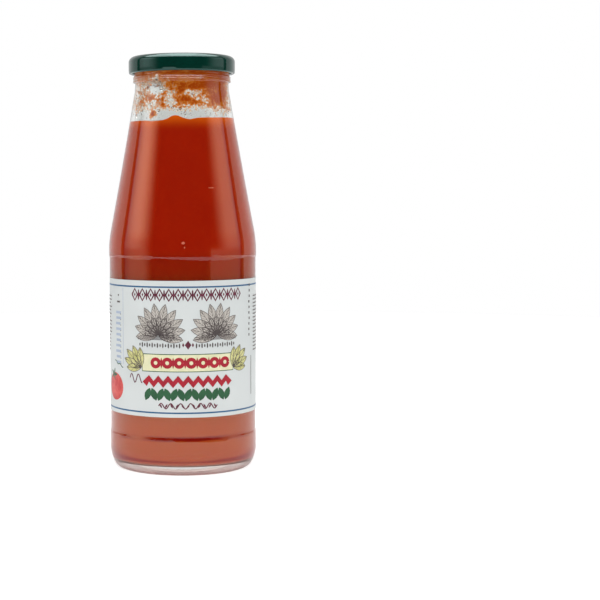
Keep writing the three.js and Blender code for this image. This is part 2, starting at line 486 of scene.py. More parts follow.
def lid_enamel():
    """Dark green enamel, fired glossy on tin, with a faint ripple and fine handling marks."""
    look = Finish("lid_enamel")
    cloud = look.step(0.3, 0.75, look.noise(0.012, 2))
    body = look.mix(cloud, colour(1, 46, 36), colour(1, 40, 31))
    marks = look.step(0.62, 0.7, look.noise(0.0012, 2, (1, 1, 0.15)))
    return look.shown(look.principled(
        base_color=body, roughness=0.09 + marks * 0.05, specular_ior_level=0.65,
        specular_tint=(0.7, 1, 0.96, 1), normal=look.bump(look.noise(0.003, 2), 0.00003),
    ))


def label_paper():
    """Coated white paper with a faint grain."""
    look = Finish("label_paper")
    fibre = look.noise(0.0006, 4, (1, 1, 2.5))
    cloud = look.step(0.3, 0.8, look.noise(0.03, 2))
    body = look.mix(cloud, PAPER_WHITE, PAPER_SHADE)
    body = look.mix(look.step(0.55, 0.8, fibre) * 0.35, body, PAPER_GRAIN)
    return look.shown(look.principled(
        base_color=body, roughness=0.5, specular_ior_level=0.35, normal=look.bump(fibre, 0.00001),
    ))


class Outline:
    """Pairs of radius and height, in millimetres, to be turned about the bottle's axis."""

    def __init__(self, radius, height):
        self.points = [(radius, height)]

    def line(self, radius, height, steps=1):
        """Goes straight on to a radius and a height."""
        start = Vector(self.points[-1])
        end = Vector((radius, height))
        self.points += [tuple(start.lerp(end, i / steps)) for i in range(1, steps + 1)]

    def curve(self, corner, end, steps):
        """Leaves towards corner and arrives at end coming from it."""
        start, corner, end = Vector(self.points[-1]), Vector(corner), Vector(end)
        for i in range(1, steps + 1):
            share = i / steps
            self.points.append(tuple(start.lerp(corner, share).lerp(corner.lerp(end, share), share)))

    def round_corner(self, radius, height, size):
        """A quarter circle from a level face out and down to an upright one."""
        near, far = size * (1 - math.sqrt(0.5)), size * (2 - math.sqrt(2))
        self.curve((radius - far, height), (radius - near, height - near), 7)
        self.curve((radius, height - far), (radius, height - size), 7)


def turned(points, steps):
    """A mesh in millimetres, made by turning an outline once round the bottle's axis.

    A sixteenth of the turn is spun, and then doubled four times.
    """
    mesh = bmesh.new()
    corners = [mesh.verts.new((radius, 0, height)) for radius, height in points]
    edges = [mesh.edges.new(pair) for pair in zip(corners, corners[1:])]
    bmesh.ops.spin(
        mesh, geom=corners + edges, cent=(0, 0, 0), axis=(0, 0, 1), dvec=(0, 0, 0),
        angle=math.tau / 16, steps=steps // 16, use_merge=False, use_duplicate=False,
    )
    for share in (16, 8, 4, 2):
        everything = mesh.verts[:] + mesh.edges[:] + mesh.faces[:]
        copy = bmesh.ops.duplicate(mesh, geom=everything)["geom"]
        corners = [item for item in copy if isinstance(item, bmesh.types.BMVert)]
        turn = Matrix.Rotation(math.tau / share, 3, "Z")
        bmesh.ops.rotate(mesh, cent=(0, 0, 0), matrix=turn, verts=corners)
    bmesh.ops.remove_doubles(mesh, verts=mesh.verts, dist=0.0001)
    bmesh.ops.recalc_face_normals(mesh, faces=mesh.faces)
    return mesh


def finished(mesh, name, material, replaced=None, sharp=None):
    """Scales a mesh to metres and makes it a piece of the bottle."""
    bmesh.ops.scale(mesh, vec=(MM, MM, MM), verts=mesh.verts)
    for face in mesh.faces:
        face.smooth = True
    data = bpy.data.meshes.new(name)
    mesh.to_mesh(data)
    mesh.free()
    if sharp:
        data.set_sharp_from_angle(angle=math.radians(sharp))
    data.materials.append(material)
    piece = bpy.data.objects.new(name, data)
    bpy.context.collection.objects.link(piece)
    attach(piece, "root")
    if replaced:
        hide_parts(replaced)


def degrees_from_front(place):
    """Angle round the bottle, from the front, and growing towards +X."""
    return math.degrees(math.atan2(place.x, -place.y))


def way_round(degrees, other):
    """The turn from one angle to another, between -180 and 180."""
    return (degrees - other + 180) % 360 - 180


def inner_wall(gap):
    """The inside of the glass from the middle of the floor to the foot of the cone, gap clear of it."""
    wall = CAVITY_RADIUS - gap
    floor_edge = FLOOR_EDGE_HEIGHT + gap
    floor_middle = FLOOR_MIDDLE_HEIGHT + gap
    shape = Outline(0, floor_middle)
    shape.curve((FLOOR_EDGE_RADIUS / 2, floor_middle), (FLOOR_EDGE_RADIUS, floor_edge), 12)
    shape.curve((wall, floor_edge), (wall, INNER_HEEL_HEIGHT), 16)
    shape.line(wall, SHOULDER_BOTTOM, 40)
    shape.curve((wall, SHOULDER_CORNER), (INNER_CONE_BOTTOM_RADIUS - gap, INNER_CONE_BOTTOM), 10)
    return shape


def neck_wall():
    """The inside of the glass from the foot of the cone up to the mouth."""
    shape = Outline(INNER_CONE_BOTTOM_RADIUS, INNER_CONE_BOTTOM)
    shape.line(INNER_CONE_TOP_RADIUS, INNER_CONE_TOP, 40)
    shape.curve((MOUTH_RADIUS, NECK_HEIGHT - NECK_CURVE), (MOUTH_RADIUS, NECK_HEIGHT), 10)
    shape.line(MOUTH_RADIUS, FINISH_TOP - LIP_ROUNDING, 6)
    return shape


NECK_WALL = [(height, radius) for radius, height in neck_wall().points]


def wall_radius(height):
    """Radius of the inside of the glass anywhere above its heel."""
    return between(NECK_WALL, height) if height > INNER_CONE_BOTTOM else CAVITY_RADIUS


def step_drop(place, level, tallness):
    """How far the slope at one end of the panel is pulled down, at a place on it or below."""
    below = level + PANEL_STEP / 2 - place.z
    share = min(max(below / PANEL_STEP, 0), 1) * (1 - smooth(PANEL_STEP, STEP_FADE, below))
    return share * (PANEL_STEP * (between(tallness, degrees_from_front(place)) - 1))


def panel_step(shape, start, end, height):
    """A slope between two radii round a height, with soft ends."""
    half = PANEL_STEP / 2
    ease = (end - start) * PANEL_STEP_EASE
    shape.curve((start, height - 0.8 * half), (start + ease, height - 0.6 * half), 4)
    shape.line(end - ease, height + 0.6 * half, 4)
    shape.curve((end, height + 0.8 * half), (end, height + half), 4)


def outer_wall():
    """The outside of the glass from the middle of the base to the mouth."""
    shoulder = BODY_RADIUS - SHOULDER_INSET
    cone_middle = ((shoulder + CONE_TOP_RADIUS) / 2 - CONE_HOLLOW, (SHOULDER_TOP + CONE_TOP) / 2)
    bead_foot, bead_top = BEAD_MIDDLE - BEAD_HALF_HEIGHT, BEAD_MIDDLE + BEAD_HALF_HEIGHT
    under_bead = bead_foot - BEAD_UNDERCUT
    push_up = STAND_INNER_RADIUS - PUSH_UP_EDGE
    half_step = PANEL_STEP / 2
    shape = Outline(0, PUSH_UP_HEIGHT)
    shape.curve((0.75 * push_up, PUSH_UP_HEIGHT), (push_up, PUSH_UP_EDGE / 2), 12)
    shape.curve((STAND_INNER_RADIUS - PUSH_UP_EDGE / 2, 0), (STAND_INNER_RADIUS, 0), 4)
    shape.line(STAND_OUTER_RADIUS, 0, 4)
    shape.curve((BODY_RADIUS - HEEL_TUCK, 0), (BODY_RADIUS, HEEL_HEIGHT), 24)
    shape.line(BODY_RADIUS, PANEL_BOTTOM - half_step, 5)
    panel_step(shape, BODY_RADIUS, PANEL_RADIUS, PANEL_BOTTOM)
    shape.line(PANEL_RADIUS, PANEL_TOP - half_step, 40)
    panel_step(shape, PANEL_RADIUS, BODY_RADIUS, PANEL_TOP)
    shape.line(BODY_RADIUS, SHOULDER_BOTTOM, 2)
    shape.curve((BODY_RADIUS, SHOULDER_CORNER), (shoulder, SHOULDER_TOP), 14)
    shape.curve(cone_middle, (CONE_TOP_RADIUS, CONE_TOP), 40)
    shape.curve((NECK_RADIUS, NECK_HEIGHT - NECK_CURVE), (NECK_RADIUS, NECK_HEIGHT), 8)
    shape.curve((NECK_RADIUS, under_bead + 0.1), (FINISH_RADIUS, under_bead), 6)
    shape.curve((BEAD_WIDEST, under_bead), (BEAD_WIDEST, bead_foot), 6)
    for roll in (bead_foot, bead_foot + BEAD_PITCH):
        shape.line(BEAD_WAIST, roll + ROLL_SLOPE, 4)
        shape.curve((BEAD_WAIST - ROLL_DIP, roll + ROLL_END), (BEAD_WIDEST, roll + BEAD_PITCH), 4)
    shape.curve((FINISH_RADIUS, BEAD_MIDDLE), (FINISH_RADIUS, bead_top), 6)
    shape.line(FINISH_RADIUS, FINISH_TOP - LIP_ROUNDING, 3)
    shape.curve((FINISH_RADIUS, FINISH_TOP), (FINISH_RADIUS - LIP_ROUNDING, FINISH_TOP), 4)
    shape.line(MOUTH_RADIUS + LIP_ROUNDING, FINISH_TOP)
    shape.curve((MOUTH_RADIUS, FINISH_TOP), (MOUTH_RADIUS, FINISH_TOP - LIP_ROUNDING), 4)
    return shape


def swell(bumps, degrees):
    """Sum of soft bumps, each given as its middle in degrees, its height and its half width in degrees."""
    total = 0
    for middle, rise, width in bumps:
        total += rise * math.exp(-((way_round(degrees, middle) / width) ** 2))
    return total


def unevenness(place, length, seed):
    """Smooth noise from -1 to 1 at a place on the bottle, whose waves are about length long."""
    return noise.noise(Vector((place.x, place.y, place.z)) / length + Vector((seed, 0, 0)))


def bottle_glass():
    """The bottle. Its outside waves in a little, as blown glass does, and it stands on a knurled ring."""
    stand_width = STAND_OUTER_RADIUS - STAND_INNER_RADIUS
    inside = neck_wall().points[::-1] + inner_wall(0).points[::-1]
    mesh = turned(outer_wall().points + inside, GLASS_STEPS)
    for vert in mesh.verts:
        place = vert.co
        radius = math.hypot(place.x, place.y)
        if HEEL_HEIGHT < place.z < LID_FOOT and radius > wall_radius(place.z) + 1:
            wave = 0.5 + 0.5 * unevenness(place, GLASS_WAVE_LENGTH, 0)
            drop = step_drop(place, PANEL_BOTTOM, LOWER_STEP_TALLNESS)
            drop += step_drop(place, PANEL_TOP, UPPER_STEP_TALLNESS)
            place.xy *= 1 - GLASS_WAVE * wave / radius
            place.z -= drop * (1 + STEP_WANDER * unevenness(place, 6, 7))
        if place.z < 0.001 and radius > STAND_INNER_RADIUS - 0.1:
            knurl = math.sin(math.radians(degrees_from_front(place)) * KNURLS)
            across = math.sin(math.pi * (radius - STAND_INNER_RADIUS) / stand_width)
            place.z += KNURL_DEPTH * max(-knurl, 0) * max(across, 0)
    finished(mesh, "glass_bottle", clear_glass(), "bottle_glass")


def fill_edge(degrees):
    """Height of the passata where it meets the glass."""
    return FILL_HEIGHT + FILL_LEAN * math.sin(math.radians(degrees)) + swell(FILL_SWELLS, degrees)


def passata():
    """The sauce, reaching just into the wall of the glass, with its uneven top."""
    shape = inner_wall(-INTO_GLASS)
    for below, steps in ((1, 30), (FILL_RIM_ROW, 1), (0, 1)):
        rim = wall_radius(FILL_HEIGHT - below) + INTO_GLASS
        shape.line(rim, FILL_HEIGHT - below, steps)
    shape.line(0, FILL_HEIGHT, FILL_RINGS)
    mesh = turned(shape.points, GLASS_STEPS)
    for vert in mesh.verts:
        place = vert.co
        near = smooth(FILL_HEIGHT - FILL_STRETCH, FILL_HEIGHT, place.z)
        if not near:
            continue
        edge = fill_edge(degrees_from_front(place)) + 0.2 * unevenness(place, 2.5, 3)
        if place.z < FILL_HEIGHT - 0.001:
            place.z += (edge - FILL_HEIGHT) * near
            place.xy *= (wall_radius(place.z) + INTO_GLASS) / math.hypot(place.x, place.y)
            continue
        share = math.hypot(place.x, place.y) / rim
        lump = 0.5 * unevenness(place, 9, 5) + 0.2 * unevenness(place, 3, 9)
        place.z = FILL_HEIGHT + (edge - FILL_HEIGHT) * share**3 + lump * (1 - share**4)
        place.xy *= (wall_radius(place.z) + INTO_GLASS) / rim
    finished(mesh, "passata_fill", sauce(), "passata")


def film_amount(place):
    """How much sauce is left inside the neck: a film over 0, a haze below 0, and nothing from FILM_ENDS."""
    degrees = degrees_from_front(place)
    amount = FILM_BASE - FILM_LESS_BEHIND * smooth(70, 100, abs(degrees))
    for middle, height, wide, tall, share in FILM_BLOTCHES:
        away = way_round(degrees, middle) / wide
        amount += share * math.exp(-(away**2) - ((place.z - height) / tall) ** 2)
    amount += 0.16 * unevenness(place, 3.4, 11) + 0.14 * unevenness(place, 1.2, 17)
    edge = BARE_BAND_TOP + 1.6 * unevenness(place, 8, 23)
    return amount - FILM_LESS_LOW * (1 - smooth(BARE_BAND_BOTTOM, edge, place.z))


def neck_film():
    """A thin sheet inside the neck, cut away where the glass is bare and thicker in the blotches."""
    heights = [FILM_BOTTOM + (FILM_TOP - FILM_BOTTOM) * i / FILM_ROWS for i in range(FILM_ROWS + 1)]
    mesh = turned([(wall_radius(height) + FILM_SKIN, height) for height in heights], FILM_STEPS)
    depth = mesh.verts.layers.float.new("depth")
    amounts = {vert: film_amount(vert.co) for vert in mesh.verts}
    bare = [face for face in mesh.faces if max(amounts[vert] for vert in face.verts) < FILM_ENDS]
    bmesh.ops.delete(mesh, geom=bare, context="FACES")
    bmesh.ops.recalc_face_normals(mesh, faces=mesh.faces)
    back = mesh.faces[:]
    kept = bmesh.ops.extrude_face_region(mesh, geom=back, use_keep_orig=True)["geom"]
    for vert in kept:
        if isinstance(vert, bmesh.types.BMVert):
            amount = max(film_amount(vert.co), 0)
            radius = math.hypot(vert.co.x, vert.co.y)
            vert.co.xy *= 1 - (2 * FILM_SKIN + FILM_DEPTH * min(amount, 1)) / radius
    for vert in mesh.verts:
        vert[depth] = film_amount(vert.co)
    bmesh.ops.recalc_face_normals(mesh, faces=mesh.faces)
    finished(mesh, "dried_sauce_in_neck", dried_sauce())


def blobs(name, material, count, seed, heights, sizes, bare_only):
    """Small flat drops on the inside of the neck, each sunk a little in the glass."""
    draw = random.Random(seed)
    mesh = bmesh.new()
    bmesh.ops.create_uvsphere(mesh, u_segments=10, v_segments=6, radius=1)
    ball = bpy.data.meshes.new("ball")
    mesh.to_mesh(ball)
    mesh.clear()
    while count:
        degrees, height = draw.uniform(-180, 180), draw.uniform(*heights)
        size = sizes[0] + (sizes[1] - sizes[0]) * draw.random() ** 2
        turn = Matrix.Rotation(math.radians(degrees), 4, "Z")
        radius = wall_radius(height)
        place = turn @ Vector((0, -radius, height))
        if height < fill_edge(degrees) + 2 * size or (bare_only and film_amount(place) > -0.05):
            continue
        wide, tall = size * draw.uniform(0.8, 1.2), size * draw.uniform(0.8, 1.4)
        spread = Matrix.Diagonal((wide, size * BLOB_FLATNESS, tall, 1))
        at = turn @ Matrix.Translation((0, -radius, height)) @ spread
        ball.transform(at)
        mesh.from_mesh(ball)
        ball.transform(at.inverted())
        count -= 1
    bpy.data.meshes.remove(ball)
    finished(mesh, name, material)


def pulp_specks():
    """Brown crumbs of pulp that dried on the glass."""
    brown = plain("pulp_speck", colour(120, 60, 20), colour(168, 84, 30), 0.001, 0.5)
    blobs("pulp_specks", brown, 150, 3, (185, 206), (0.12, 0.42), False)


def clear_drops():
    """Water that gathered where the glass is bare."""
    blobs("clear_drops", water(), 150, 8, (185.5, 205), (0.3, 0.9), True)


def air_bubbles():
    """Air caught between the passata and the glass: two bubbles low at the front and a flat one above, as
    opaque blobs painted pale pink as painted highlights.
    """
    mesh = bmesh.new()
    bubbles = ((0.5, 120.5, 0.9, 0.7), (1.5, 118.2, 0.35, 0.5), (27, 148.5, 1.6, 0.3))
    for degrees, height, wide, tall in bubbles:
        turn = Matrix.Rotation(math.radians(degrees), 4, "Z")
        shift = Matrix.Translation((0, -wall_radius(height) - INTO_GLASS, height))
        at = turn @ shift @ Matrix.Diagonal((wide, 0.25, tall, 1))
        bmesh.ops.create_uvsphere(mesh, u_segments=16, v_segments=10, radius=1, matrix=at)
    # Painted highlight: the bubbles' pale pink stands for the light that air pockets catch
    pale = plain("air_bubble", colour(206, 108, 84), colour(190, 84, 60), 0.001, 0.2)
    finished(mesh, "air_bubbles", pale)


def lid_top(shape, height, shift):
    """One face of the pressed top, from the middle out to the corner."""
    middle = height - MIDDLE_DROP
    low = middle - BUTTON_DROP
    button, rim = BUTTON_RADIUS + shift, RIM_RADIUS + shift
    shape.line(button - BUTTON_SLOPE - BUTTON_SOFTNESS, low, 4)
    shape.curve((button - BUTTON_SLOPE, low), (button - BUTTON_SLOPE / 2, (low + middle) / 2), 3)
    shape.curve((button, middle), (button + BUTTON_SOFTNESS, middle), 3)
    shape.line(rim - RIM_SLOPE - RIM_SOFTNESS, middle, 6)
    shape.curve((rim - RIM_SLOPE, middle), (rim - RIM_SLOPE / 2, (middle + height) / 2), 4)
    shape.curve((rim, height), (rim + RIM_SOFTNESS, height), 4)
    shape.line(LID_RADIUS - LID_CORNER - shift, height, 2)


def lid():
    """The pressed tin lid, whose curled edge is pushed in at four lugs."""
    under = TOTAL_HEIGHT - TIN_THICKNESS
    inner = LID_RADIUS - TIN_THICKNESS
    curl_top = LID_FOOT + 2 * CURL_RADIUS
    curl_inner = LID_RADIUS - 2 * CURL_RADIUS
    curl_outer = LID_RADIUS - CURL_TUCK
    shape = Outline(0, under - MIDDLE_DROP - BUTTON_DROP)
    lid_top(shape, under, TIN_THICKNESS / 2)
    shape.curve((inner, under), (inner, under - LID_CORNER), 8)
    shape.line(inner, curl_top, 3)
    shape.curve((curl_inner, curl_top), (curl_inner, LID_FOOT + CURL_RADIUS), 5)
    shape.curve((curl_inner, LID_FOOT), (LID_RADIUS - CURL_RADIUS, LID_FOOT), 5)
    shape.curve((curl_outer, LID_FOOT), (curl_outer, LID_FOOT + CURL_RADIUS), 5)
    shape.line(LID_RADIUS, curl_top, 2)
    shape.line(LID_RADIUS, TOTAL_HEIGHT - LID_CORNER, 5)
    upper = Outline(0, TOTAL_HEIGHT - MIDDLE_DROP - BUTTON_DROP)
    lid_top(upper, TOTAL_HEIGHT, 0)
    upper.round_corner(LID_RADIUS, TOTAL_HEIGHT, LID_CORNER)
    mesh = turned(shape.points + upper.points[-2::-1], GLASS_STEPS)
    for vert in mesh.verts:
        place = vert.co
        low = 1 - smooth(LID_FOOT + 0.6 * CURL_RADIUS, curl_top, place.z)
        if low <= 0:
            continue
        turns = [way_round(degrees_from_front(place), lug) for lug in LUG_DEGREES]
        near = max(math.exp(-((turn / LUG_WIDTH) ** 4)) for turn in turns)
        place.xy *= 1 - LUG_DEPTH * low * near / math.hypot(place.x, place.y)
    finished(mesh, "twist_off_lid", lid_enamel(), "lid")


LABEL_FACE = PANEL_RADIUS + PAPER_THICKNESS + 0.01
HALF_ROUND = math.pi * LABEL_FACE
LABEL_END = HALF_ROUND + SEAM_OVERLAP / 2


def paper_lift(along, height):
    """How far the paper stands off: faint wrinkles, and the overlap that lies over its other end."""
    wrinkle = PAPER_WRINKLE * (0.5 + 0.5 * noise.noise(Vector((along / 17, height / 40, 2))))
    over = LABEL_END - SEAM_OVERLAP
    return wrinkle + (PAPER_THICKNESS + INK_THICKNESS + 0.01) * smooth(over - 3, over, along)


def wrapped(mesh):
    """Bends a flat mesh round the label panel: x runs along the label from the front and y up it."""
    for vert in mesh.verts:
        along, height, proud = vert.co
        radius = LABEL_FACE + proud + paper_lift(along, height)
        angle = along / LABEL_FACE
        vert.co = (radius * math.sin(angle), -radius * math.cos(angle), height)
    bmesh.ops.recalc_face_normals(mesh, faces=mesh.faces)


def thickened(mesh, thickness):
    """Gives a flat mesh that lies on the label its thickness, downwards."""
    bottom = bmesh.ops.extrude_face_region(mesh, geom=mesh.faces[:], use_keep_orig=True)["geom"]
    moved = [item for item in bottom if isinstance(item, bmesh.types.BMVert)]
    bmesh.ops.translate(mesh, vec=(0, 0, -thickness), verts=moved)


def paper():
    """The label's sheet, wrapped once round the panel with its ends overlapping at the back."""
    mesh = bmesh.new()
    middle = (LABEL_BOTTOM + LABEL_TOP) / 2
    size = Matrix.Diagonal((LABEL_END, (LABEL_TOP - LABEL_BOTTOM) / 2, 1, 1))
    at = Matrix.Translation((0, middle, 0)) @ size
    bmesh.ops.create_grid(mesh, x_segments=220, y_segments=28, size=1, matrix=at)
    thickened(mesh, PAPER_THICKNESS)
    wrapped(mesh)
    finished(mesh, "paper_label", label_paper(), "label", sharp=40)


class Ink:
    """Shapes of one colour, drawn flat in millimetres along and up the label."""

    def __init__(self, layer):
        self.mesh = bmesh.new()
        self.layer = layer

    def shape(self, sides, along, up, half_long, half_high, turn=0, pinch=0):
        """A round or cornered shape. With pinch its two ends draw in to points, as on a leaf."""
        made = bmesh.ops.create_circle(self.mesh, cap_ends=True, segments=sides, radius=1)["verts"]
        for vert in made:
            vert.co.y *= (1 - min(abs(vert.co.x), 1) ** 2) ** pinch if pinch else 1
        at = Matrix.Translation((along, up, 0)) @ Matrix.Rotation(math.radians(turn), 4, "Z")
        bmesh.ops.transform(self.mesh, matrix=at @ Matrix.Diagonal((half_long, half_high, 1, 1)), verts=made)

    def bar(self, along, up, long, high):
        """A plain bar, given by its middle."""
        at = Matrix.Translation((along, up, 0)) @ Matrix.Diagonal((long / 2, high / 2, 1, 1))
        bmesh.ops.create_grid(self.mesh, x_segments=1, y_segments=1, size=1, matrix=at)

    def stroke(self, points, width):
        """A line of even width through points, drawn by pulling out its end."""
        points = [Vector(point) for point in points]
        for i, point in enumerate(points):
            ahead = points[min(i + 1, len(points) - 1)] - points[max(i - 1, 0)]
            side = Vector((-ahead.y, ahead.x)).normalized() * width / 2
            if i == 0:
                ends = [self.mesh.verts.new((*(point + side), 0)), self.mesh.verts.new((*(point - side), 0))]
                edge = self.mesh.edges.new(ends)
                continue
            pulled = bmesh.ops.extrude_edge_only(self.mesh, edges=[edge])["geom"]
            edge = next(item for item in pulled if isinstance(item, bmesh.types.BMEdge))
            fresh = [item for item in pulled if isinstance(item, bmesh.types.BMVert)]
            beside = {link.other_vert(vert): vert for vert in fresh for link in vert.link_edges}
            ends = [beside[vert] for vert in ends]
            for vert, shift in zip(ends, (side, -side)):
                vert.co = (*(point + shift), 0)

    def printed(self, name, material):
        """Cuts the shapes often enough to bend, wraps them round the label and finishes the piece."""
        low = min(vert.co.x for vert in self.mesh.verts)
        high = max(vert.co.x for vert in self.mesh.verts)
        for i in range(math.ceil(low / CUT_LENGTH), math.floor(high / CUT_LENGTH) + 1):
            everything = self.mesh.verts[:] + self.mesh.edges[:] + self.mesh.faces[:]
            bmesh.ops.bisect_plane(
                self.mesh, geom=everything, dist=0.001, plane_co=(i * CUT_LENGTH, 0, 0), plane_no=(1, 0, 0),
            )
        bmesh.ops.translate(self.mesh, vec=(0, 0, self.layer * INK_THICKNESS), verts=self.mesh.verts)
        thickened(self.mesh, INK_THICKNESS)
        wrapped(self.mesh)
        finished(self.mesh, name, material, sharp=40)


def leaf_outline(ink, along, up, long, wide, turn, hatches):
    """A leaf drawn in line: its edge, its rib and a few hatched veins."""
    angle = math.radians(turn)
    ahead, side = Vector((math.cos(angle), math.sin(angle))), Vector((-math.sin(angle), math.cos(angle)))
    start = Vector((along, up))

    def at(share, across):
        return start + ahead * long * share + side * wide * across * math.sin(math.pi * share) ** 0.8

    shares = [i / 8 for i in range(9)]
    ink.stroke([at(share, 0.5) for share in shares], 0.26)
    ink.stroke([at(share, -0.5) for share in shares], 0.26)
    ink.stroke([at(0, 0), at(0.5, 0), at(0.96, 0)], 0.2)
    for i in range(hatches):
        share = 0.2 + 0.6 * i / max(hatches - 1, 1)
        for way in (0.42, -0.42):
            ink.stroke([at(share, 0), at(min(share + 0.14, 1), way)], 0.14)


def fan(ink, fill, root, leaves, way, hatches):
    """Leaves that spread from one root, each given as a turn in degrees, a length and a width."""
    for turn, long, wide in leaves:
        turn = turn if way > 0 else 180 - turn
        angle = math.radians(turn)
        middle = Vector(root) + Vector((math.cos(angle), math.sin(angle))) * long / 2
        fill.shape(12, middle.x, middle.y, long / 2, wide / 2, turn, 0.5)
        leaf_outline(ink, *root, long, wide, turn, hatches)


def ring(ink, along, up, radius, width):
    """A ring drawn with one stroke."""
    turns = [math.tau * i / 16 for i in range(17)]
    ink.stroke([(along + radius * math.cos(turn), up + radius * math.sin(turn)) for turn in turns], width)


def lozenge_row(maroon):
    """Open lozenges with a small one inside each, and a lens between one and the next."""
    for i in range(-6, 7):
        along = DESIGN_SHIFT + 4.9 * i
        corners = ((-1.8, 0), (0, 3), (1.8, 0), (0, -3), (-1.8, 0))
        maroon.stroke([(along + x, LOZENGE_ROW + y) for x, y in corners], 0.95)
        maroon.shape(4, along, LOZENGE_ROW, 0.5, 1)
        if i < 6:
            maroon.shape(8, along + 2.45, LOZENGE_ROW, 0.5, 2.9)


def palmettes(grey, stone):
    """Two hatched fans of leaves, each over a few lines of ground."""
    leaves = [(22 * i - 6, 13.2 + 3 * math.sin(math.pi * i / 9), 5.2) for i in range(10)]
    inner = [(turn + 11, 0.6 * long, 3) for turn, long, _ in leaves]
    for way in (-1, 1):
        root = (DESIGN_SHIFT + way * PALMETTE_APART, PALMETTE_ROOT)
        fan(grey, stone, root, leaves, way, 7)
        fan(grey, stone, root, inner, way, 4)
        for i in range(5):
            shift = way * (PALMETTE_APART + 1.6 * math.sin(2.3 * i))
            grey.bar(DESIGN_SHIFT + shift, PALMETTE_ROOT - 2.5 + 0.55 * i, 24 - 1.5 * i, 0.3)


def tick_row(grey, maroon):
    """A row of ticks, rising towards its ends, with three lozenges in its middle."""
    for i in range(-18, 19):
        along = TICK_PITCH * i
        if abs(i) > 2:
            tall = 1.45 if i % 2 else 0.85
            grey.shape(6, DESIGN_SHIFT + along, TICK_ROW + 0.0006 * along**2, 0.42, tall)
    maroon.shape(4, DESIGN_SHIFT, TICK_ROW + 0.4, 1.7, 2.3)
    for way in (-1, 1):
        maroon.shape(4, DESIGN_SHIFT + 2.5 * way, TICK_ROW + 0.4, 0.6, 1.2)


def ribbon(green, cream, red, grey, olive):
    """A cream ribbon edged in green, with red rings on it and a fan of leaves at each end."""
    green.bar(DESIGN_SHIFT + 0.4, RIBBON_ROW, 50.6, 9.3)
    cream.bar(DESIGN_SHIFT + 0.4, RIBBON_ROW, 50, 8.5)
    for i in range(-3, 4):
        along = DESIGN_SHIFT + 1.6 + 6.2 * i
        ring(red, along, RIBBON_ROW, 1.95, 1.9)
        if i < 3:
            red.shape(4, along + 3.1, RIBBON_ROW, 0.9, 3)
    leaves = ((86, 10.5, 4.2), (64, 12.5, 4.4), (42, 13.5, 4.6), (20, 12.5, 4.4), (-2, 10, 4.2))
    for way in (-1, 1):
        fan(grey, olive, (DESIGN_SHIFT + way * 25.5, RIBBON_ROW - 2.9), leaves, way, 3)


def lower_rows(red, maroon, green):
    """A red zigzag with a small wave beside it, a row of green leaves and a thin vine."""
    zigzag = [(DESIGN_SHIFT - 23.4 + 2.6 * i, ZIGZAG_ROW + (1.5 if i % 2 else -1.5)) for i in range(19)]
    red.stroke(zigzag, 3.4)
    wave = [(-30.5 + 0.55 * i, ZIGZAG_ROW + 1.1 + 2.3 * math.sin(0.75 * i)) for i in range(16)]
    maroon.stroke(wave, 0.6)
    for i in range(-6, 7):
        green.shape(12, DESIGN_SHIFT + 3.6 * i, LEAF_ROW, 3.5, 1.85, 90 + (22 if i % 2 else -22), 0.5)
    vine = [(DESIGN_SHIFT - 15.5 + 0.45 * i, VINE_ROW + 1.4 * math.sin(0.55 * i)) for i in range(70)]
    maroon.stroke(vine, 0.6)
    for i in range(11):
        maroon.shape(8, DESIGN_SHIFT - 14.3 + 2.86 * i, VINE_ROW, 1.3, 0.5, 60 if i % 2 else -60, 0.5)


def label_design():
    """A folk pattern of leaves, rings, lozenges and bands, with rows of plain bars on the sides and back."""
    blue, maroon, tomato, pale = Ink(1), Ink(1), Ink(1), Ink(1)
    green, cream, stone, olive, red, grey = Ink(2), Ink(3), Ink(4), Ink(4), Ink(4), Ink(5)
    for height in (LABEL_TOP - 3.2, LABEL_BOTTOM + 2.3):
        blue.bar(0, height, 2 * LABEL_END - 0.6, 0.8)
    lozenge_row(maroon)
    palmettes(grey, stone)
    tick_row(grey, maroon)
    ribbon(green, cream, red, grey, olive)
    lower_rows(red, maroon, green)
    side_prints(grey, maroon, tomato, pale, green, red)
    inks = (
        (blue, "blue_print", colour(40, 92, 132), colour(36, 84, 124)),
        (maroon, "maroon_print", colour(100, 36, 56), colour(88, 30, 48)),
        (red, "red_print", colour(170, 20, 42), colour(156, 18, 38)),
        (green, "green_print", colour(40, 92, 58), colour(32, 80, 50)),
        (cream, "cream_print", colour(226, 222, 186), colour(214, 214, 172)),
        (stone, "stone_print", colour(196, 190, 182), colour(184, 178, 170)),
        (grey, "grey_print", colour(84, 76, 74), colour(72, 64, 64)),
        (olive, "olive_print", colour(206, 202, 140), colour(184, 182, 112)),
        (pale, "pale_blue_print", colour(168, 180, 200), colour(156, 170, 190)),
        (tomato, "tomato_print", colour(190, 48, 48), colour(214, 84, 76)),
    )
    for ink, name, shade, other in inks:
        ink.printed(name, plain(name, shade, other, 0.004, 0.42, specular_ior_level=0.35))


